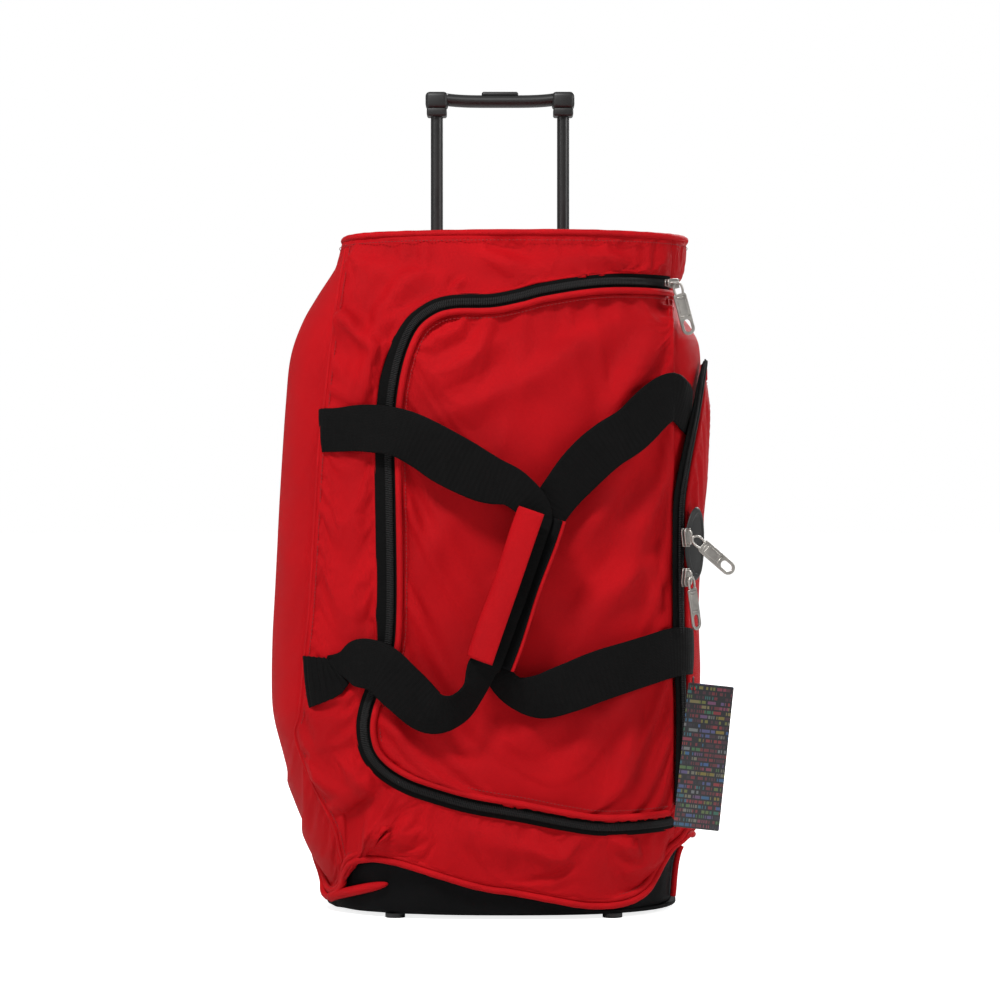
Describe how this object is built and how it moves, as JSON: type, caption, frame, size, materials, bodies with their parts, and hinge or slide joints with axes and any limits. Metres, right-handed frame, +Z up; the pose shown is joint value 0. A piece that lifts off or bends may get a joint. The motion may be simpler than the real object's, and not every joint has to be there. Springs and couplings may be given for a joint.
{
  "type": "rolling duffel bag",
  "caption": "Soft rolling duffel bag with a U-shaped zip flap, carry handles joined by a wrap, a zipped side pocket, wheels and a telescopic trolley handle.",
  "frame": {"origin": "bottom centre of the box round the whole bag, on the floor", "axes": "+Z up along the length of the bag and its trolley tubes; the front with the U-shaped zip faces -Y; +X to the right as seen from the front"},
  "size_m": [0.4098, 0.318, 0.7786],
  "materials": {
    "fabric_red": "woven polyester, slight sheen",
    "fabric_black": "coated woven polyester",
    "piping_red": "bias-bound piping",
    "webbing": "ribbed woven webbing",
    "zip_tape": "woven zip tape",
    "zip_coil": "moulded zip coil",
    "badge": "moulded rubber patch",
    "board": "plain sheet plastic",
    "tube_black": "satin black coating",
    "hard_black": "fine moulded grain",
    "steel": "plated",
    "bush_white": "slippery moulded plastic",
    "hub_grey": "moulded",
    "tyre": "smooth tread",
    "nickel": "die-cast, nickel plated",
    "tag_card": "laminated card, plain pattern"
  },
  "bodies": {
    "bag": {"front_frame": "fabric_red", "side_panel_left": "fabric_red", "side_panel_right": "fabric_red", "back_panel": "fabric_black", "top_end_panel": "fabric_red", "boot_shell": "fabric_black", "base_panel": "fabric_black", "back_board": "board", "top_piping": "piping_red", "bottom_piping": "piping_red", "zip_tape_frame": "zip_tape", "zip_coil_frame": "zip_coil", "pocket_panel": "fabric_red", "pocket_zip_tape": "zip_tape", "pocket_zip_coil": "zip_coil", "pocket_badge": "badge", "strap_ends": "webbing", "outer_tube_left": "tube_black", "outer_tube_right": "tube_black", "handle_bezel": "hard_black", "tube_bracket_upper": "board", "tube_bracket_lower": "board", "rear_base": "hard_black", "axles": "steel", "skid_rails": "hard_black", "front_feet": "hard_black", "rail_screws": "steel", "tag_loop": "hard_black"},
    "trolley": {"inner_tube_left": "tube_black", "inner_tube_right": "tube_black", "slide_foot_left": "bush_white", "slide_foot_right": "bush_white", "grip_housing": "hard_black", "grip_cover": "hard_black", "button_spring": "steel"},
    "release": {"release_button": "hard_black", "release_yoke": "steel", "push_rod_left": "steel", "push_rod_right": "steel"},
    "lock_pin_left": {"lock_pin_left": "steel"},
    "lock_pin_right": {"lock_pin_right": "steel"},
    "wheel_left": {"wheel_hub_left": "hub_grey", "wheel_tyre_left": "tyre"},
    "wheel_right": {"wheel_hub_right": "hub_grey", "wheel_tyre_right": "tyre"},
    "flap": {"flap_panel": "fabric_red", "flap_piping": "piping_red", "zip_tape_flap": "zip_tape", "zip_coil_flap": "zip_coil"},
    "handle_left": {"handle_left_strap": "webbing", "handle_wrap": "fabric_red"},
    "handle_right": {"handle_right_strap": "webbing"},
    "main_slider": {"main_slider": "nickel"},
    "main_puller": {"main_puller": "nickel"},
    "upper_pocket_slider": {"upper_pocket_slider": "nickel"},
    "upper_pocket_puller": {"upper_pocket_puller": "nickel"},
    "lower_pocket_slider": {"lower_pocket_slider": "nickel"},
    "lower_pocket_puller": {"lower_pocket_puller": "nickel"},
    "hang_tag": {"hang_tag": "tag_card"}
  },
  "joints": [
    {"name": "trolley_slide", "type": "slide", "parent": "bag", "child": "trolley", "axis": [0, 0, 1], "range_m": [-0.126, 0.32]},
    {"name": "button_press", "type": "slide", "parent": "trolley", "child": "release", "axis": [0, 0, -1], "range_m": [0, 0.0025], "stiffness_N_per_m": 1500, "springref_m": -0.004, "deforming": ["button_spring"]},
    {"name": "lock_pin_left_slide", "type": "slide", "parent": "trolley", "child": "lock_pin_left", "axis": [1, 0, 0], "range_m": [0, 0.002]},
    {"name": "lock_pin_right_slide", "type": "slide", "parent": "trolley", "child": "lock_pin_right", "axis": [-1, 0, 0], "range_m": [0, 0.002]},
    {"name": "wheel_left_spin", "type": "hinge", "parent": "bag", "child": "wheel_left", "pos_m": [-0.125, 0.126, 0.03], "axis": [1, 0, 0], "continuous": true},
    {"name": "wheel_right_spin", "type": "hinge", "parent": "bag", "child": "wheel_right", "pos_m": [0.125, 0.126, 0.03], "axis": [1, 0, 0], "continuous": true},
    {"name": "flap_open", "type": "hinge", "parent": "bag", "child": "flap", "pos_m": [0.156, -0.084, 0.33], "axis": [0, 0, 1], "range_deg": [0, 36]},
    {"name": "handle_left_swing", "type": "hinge", "parent": "bag", "child": "handle_left", "pos_m": [-0.15, -0.1, 0.33], "axis": [0, 0, -1], "range_deg": [0, 144]},
    {"name": "handle_right_swing", "type": "hinge", "parent": "bag", "child": "handle_right", "pos_m": [0.164, -0.083, 0.33], "axis": [0, 0, 1], "range_deg": [0, 54]},
    {"name": "main_zip_slide", "type": "slide", "parent": "bag", "child": "main_slider", "axis": [0.6428, 0.766, 0], "range_m": [-0.025, 0]},
    {"name": "main_puller_swing", "type": "hinge", "parent": "main_slider", "child": "main_puller", "pos_m": [0.1609, -0.06512, 0.576], "axis": [0.766, -0.6428, 0], "range_deg": [0, 50]},
    {"name": "upper_pocket_zip_slide", "type": "slide", "parent": "bag", "child": "upper_pocket_slider", "axis": [0, 0, 1], "range_m": [0, 0.045]},
    {"name": "upper_puller_swing", "type": "hinge", "parent": "upper_pocket_slider", "child": "upper_pocket_puller", "pos_m": [0.17478, -0.08961, 0.344], "axis": [0.766, -0.6428, 0], "range_deg": [0, 60]},
    {"name": "lower_pocket_zip_slide", "type": "slide", "parent": "bag", "child": "lower_pocket_slider", "axis": [0, 0, -1], "range_m": [0, 0.06]},
    {"name": "lower_puller_swing", "type": "hinge", "parent": "lower_pocket_slider", "child": "lower_pocket_puller", "pos_m": [0.1724, -0.08732, 0.308], "axis": [0.766, -0.6428, 0], "range_deg": [0, 40]},
    {"name": "tag_swing", "type": "hinge", "parent": "bag", "child": "hang_tag", "pos_m": [0.1735, -0.109, 0.209], "axis": [0, -1, 0], "range_deg": [0, 30]}
  ],
  "couplings": [
    {"joint": "lock_pin_left_slide", "follows": "button_press", "ratio": 0.8},
    {"joint": "lock_pin_right_slide", "follows": "button_press", "ratio": 0.8},
    {"joint": "handle_left_swing", "follows": "flap_open", "ratio": 4},
    {"joint": "handle_right_swing", "follows": "flap_open", "ratio": 1.5}
  ]
}
